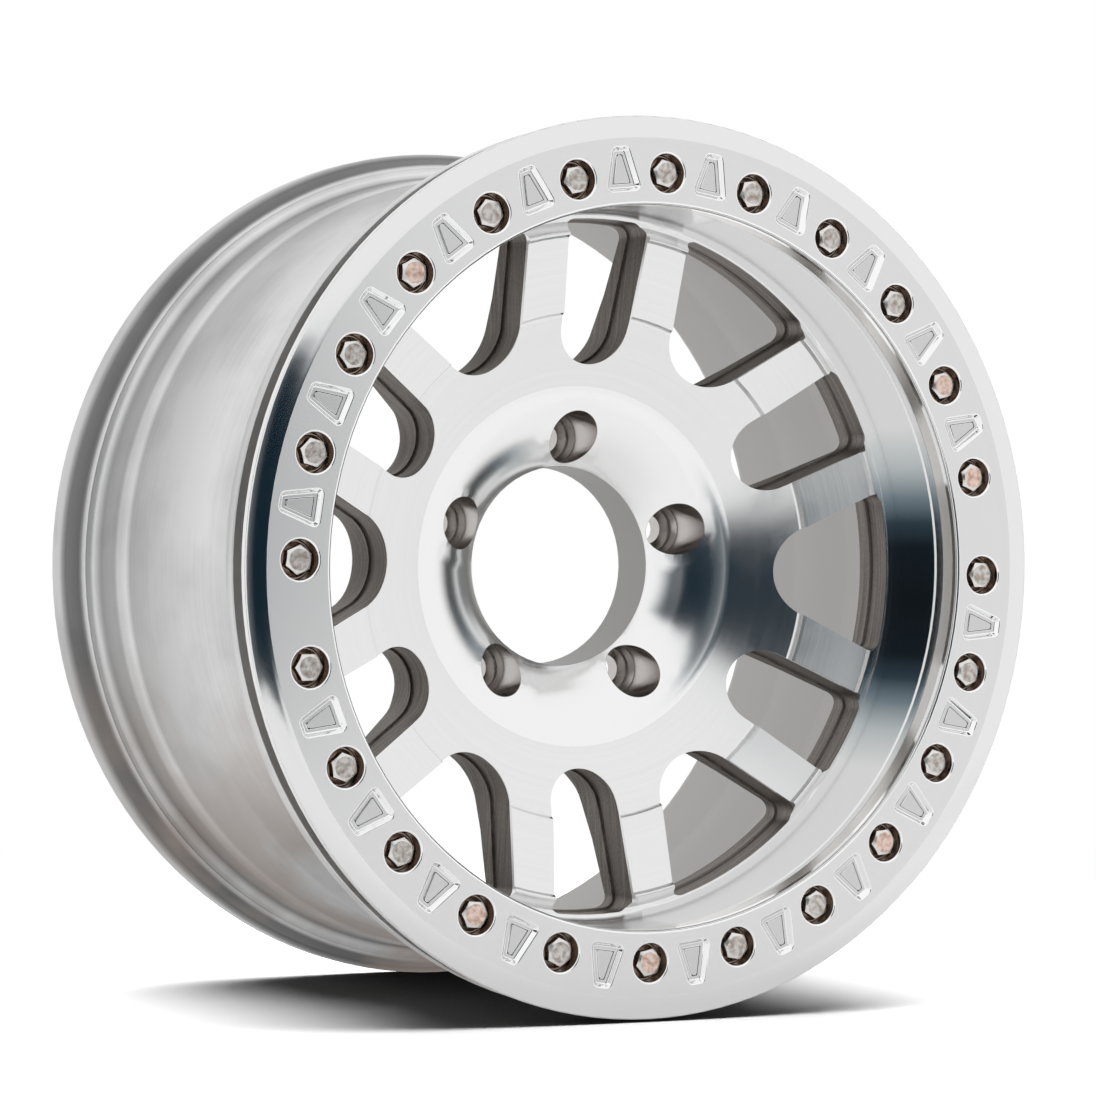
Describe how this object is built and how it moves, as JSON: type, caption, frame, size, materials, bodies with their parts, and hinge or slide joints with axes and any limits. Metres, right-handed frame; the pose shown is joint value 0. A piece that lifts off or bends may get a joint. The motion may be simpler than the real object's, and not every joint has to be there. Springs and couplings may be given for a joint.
{
  "type": "car wheel",
  "caption": "Off-road car wheel with paired spokes in a deep dish, and a bolted clamping ring that holds the front tyre bead.",
  "frame": {"origin": "centre of the hub mounting face, on the wheel's axle line", "axes": "+Y along the axle towards the brake side, -Y towards the front of the wheel, +Z through one wheel nut hole, +X to the right as seen from the front"},
  "size_m": [0.4705, 0.2564, 0.4706],
  "materials": {
    "turned_aluminium": "bright turned faces, raw cast window walls",
    "ring_aluminium": "fine turned satin",
    "bolt_steel": "zinc plated, some with a copper tint"
  },
  "bodies": {
    "root": {"wheel_body": "turned_aluminium", "beadlock_ring": "ring_aluminium", "ring_bolt_01": "bolt_steel", "ring_bolt_02": "bolt_steel", "ring_bolt_03": "bolt_steel", "ring_bolt_04": "bolt_steel", "ring_bolt_05": "bolt_steel", "ring_bolt_06": "bolt_steel", "ring_bolt_07": "bolt_steel", "ring_bolt_08": "bolt_steel", "ring_bolt_09": "bolt_steel", "ring_bolt_10": "bolt_steel", "ring_bolt_11": "bolt_steel", "ring_bolt_12": "bolt_steel", "ring_bolt_13": "bolt_steel", "ring_bolt_14": "bolt_steel", "ring_bolt_15": "bolt_steel", "ring_bolt_16": "bolt_steel", "ring_bolt_17": "bolt_steel", "ring_bolt_18": "bolt_steel", "ring_bolt_19": "bolt_steel", "ring_bolt_20": "bolt_steel", "ring_bolt_21": "bolt_steel", "ring_bolt_22": "bolt_steel", "ring_bolt_23": "bolt_steel", "ring_bolt_24": "bolt_steel"}
  },
  "joints": []
}
